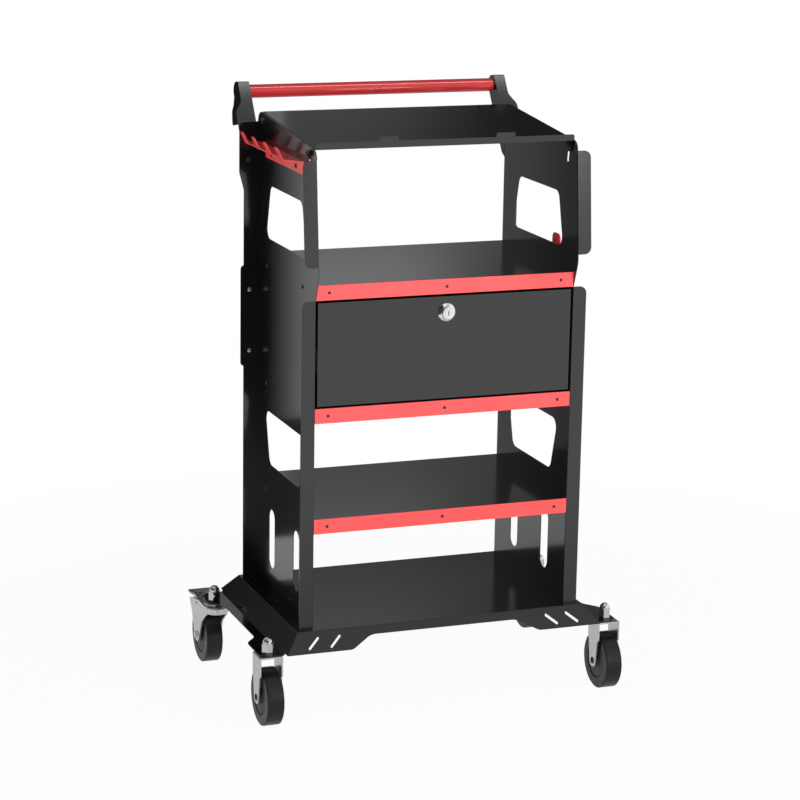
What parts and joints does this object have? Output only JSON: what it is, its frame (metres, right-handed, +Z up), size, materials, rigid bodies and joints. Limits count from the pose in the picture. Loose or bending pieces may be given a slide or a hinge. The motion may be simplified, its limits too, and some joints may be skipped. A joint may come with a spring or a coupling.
{
  "type": "diagnostic cart",
  "caption": "Rolling sheet-steel workshop cart with a sloping top tray, lockable drawer, open shelves, rear push handle, side hooks, fixed front casters and braked swivelling rear casters.",
  "frame": {"origin": "on the floor, under the middle of the cart", "axes": "+Z up, -Y to the front with the drawer and the red trims, +X to the right"},
  "size_m": [0.7366, 0.491, 1.1299],
  "materials": {
    "black_coat": "satin black powder coat",
    "red_coat": "semi-gloss red powder coat",
    "zinc": "bright zinc plating",
    "chrome": "polished chrome",
    "dark_steel": "black oxide",
    "tyre": "matte rubber",
    "black_plastic": "moulded, slightly grained"
  },
  "bodies": {
    "frame": {"base_plate": "black_coat", "base_rail_left": "black_coat", "base_rail_right": "black_coat", "base_aprons": "black_coat", "side_panel_left": "black_coat", "side_panel_right": "black_coat", "lower_shelf": "black_coat", "lower_trim": "red_coat", "middle_shelf": "black_coat", "middle_trim": "red_coat", "upper_shelf": "black_coat", "upper_trim": "red_coat", "back_cover": "black_coat", "handle_arm_left": "black_coat", "handle_arm_right": "black_coat", "handle_tube": "red_coat", "tube_plugs": "black_plastic", "hook_rack_left": "red_coat", "cable_hook_right": "red_coat", "shelf_screws": "dark_steel", "trim_rivets": "dark_steel", "cover_screws": "zinc", "handle_bolts": "dark_steel", "hook_screws": "dark_steel", "foot_screws": "zinc", "caster_studs": "zinc", "stud_nuts": "chrome", "slide_outer_left": "zinc", "slide_outer_right": "zinc", "front_fork_left": "zinc", "front_fork_right": "zinc", "front_axles": "zinc", "swivel_heads": "zinc"},
    "tray": {"top_tray": "black_coat", "tray_bolts": "dark_steel"},
    "drawer": {"drawer_front": "black_coat", "drawer_box": "black_coat", "drawer_screws": "zinc", "lock_housing": "chrome", "lock_nut": "zinc", "slide_inner_left": "zinc", "slide_inner_right": "zinc"},
    "slide_middles": {"slide_middle_left": "zinc", "slide_middle_right": "zinc"},
    "lock": {"lock_plug": "chrome", "lock_cam": "zinc"},
    "front_wheel_left": {"front_tyre_left": "tyre", "front_hub_left": "black_plastic"},
    "front_wheel_right": {"front_tyre_right": "tyre", "front_hub_right": "black_plastic"},
    "swivel_left": {"rear_fork_left": "zinc", "rear_pins_left": "zinc"},
    "swivel_right": {"rear_fork_right": "zinc", "rear_pins_right": "zinc"},
    "rear_wheel_left": {"rear_tyre_left": "tyre", "rear_hub_left": "black_plastic"},
    "rear_wheel_right": {"rear_tyre_right": "tyre", "rear_hub_right": "black_plastic"},
    "brake_left": {"rear_brake_pedal_left": "zinc"},
    "brake_right": {"rear_brake_pedal_right": "zinc"}
  },
  "joints": [
    {"name": "tray_tilt", "type": "hinge", "parent": "frame", "child": "tray", "pos_m": [0, 0.11248, 1.06934], "axis": [1, 0, 0], "range_deg": [0, 6.5]},
    {"name": "drawer_travel", "type": "slide", "parent": "frame", "child": "drawer", "axis": [0, -1, 0], "range_m": [0, 0.28]},
    {"name": "slide_middle_travel", "type": "slide", "parent": "frame", "child": "slide_middles", "axis": [0, -1, 0], "range_m": [0, 0.14]},
    {"name": "lock_turn", "type": "hinge", "parent": "drawer", "child": "lock", "pos_m": [0, -0.1895, 0.7527], "axis": [0, -1, 0], "range_deg": [0, 90]},
    {"name": "front_wheel_left_spin", "type": "hinge", "parent": "frame", "child": "front_wheel_left", "pos_m": [-0.337, -0.1915, 0.054], "axis": [1, 0, 0], "continuous": true},
    {"name": "front_wheel_right_spin", "type": "hinge", "parent": "frame", "child": "front_wheel_right", "pos_m": [0.337, -0.1915, 0.054], "axis": [1, 0, 0], "continuous": true},
    {"name": "swivel_left_turn", "type": "hinge", "parent": "frame", "child": "swivel_left", "pos_m": [-0.342, 0.1355, 0.12], "axis": [0, 0, 1], "continuous": true},
    {"name": "swivel_right_turn", "type": "hinge", "parent": "frame", "child": "swivel_right", "pos_m": [0.342, 0.1355, 0.12], "axis": [0, 0, 1], "continuous": true},
    {"name": "rear_wheel_left_spin", "type": "hinge", "parent": "swivel_left", "child": "rear_wheel_left", "pos_m": [-0.342, 0.1835, 0.054], "axis": [1, 0, 0], "continuous": true},
    {"name": "rear_wheel_right_spin", "type": "hinge", "parent": "swivel_right", "child": "rear_wheel_right", "pos_m": [0.342, 0.1835, 0.054], "axis": [1, 0, 0], "continuous": true},
    {"name": "brake_left_press", "type": "hinge", "parent": "swivel_left", "child": "brake_left", "pos_m": [-0.342, 0.1855, 0.118], "axis": [-1, 0, 0], "range_deg": [0, 7]},
    {"name": "brake_right_press", "type": "hinge", "parent": "swivel_right", "child": "brake_right", "pos_m": [0.342, 0.1855, 0.118], "axis": [-1, 0, 0], "range_deg": [0, 7]}
  ],
  "couplings": [
    {"joint": "slide_middle_travel", "follows": "drawer_travel", "ratio": 0.5}
  ]
}
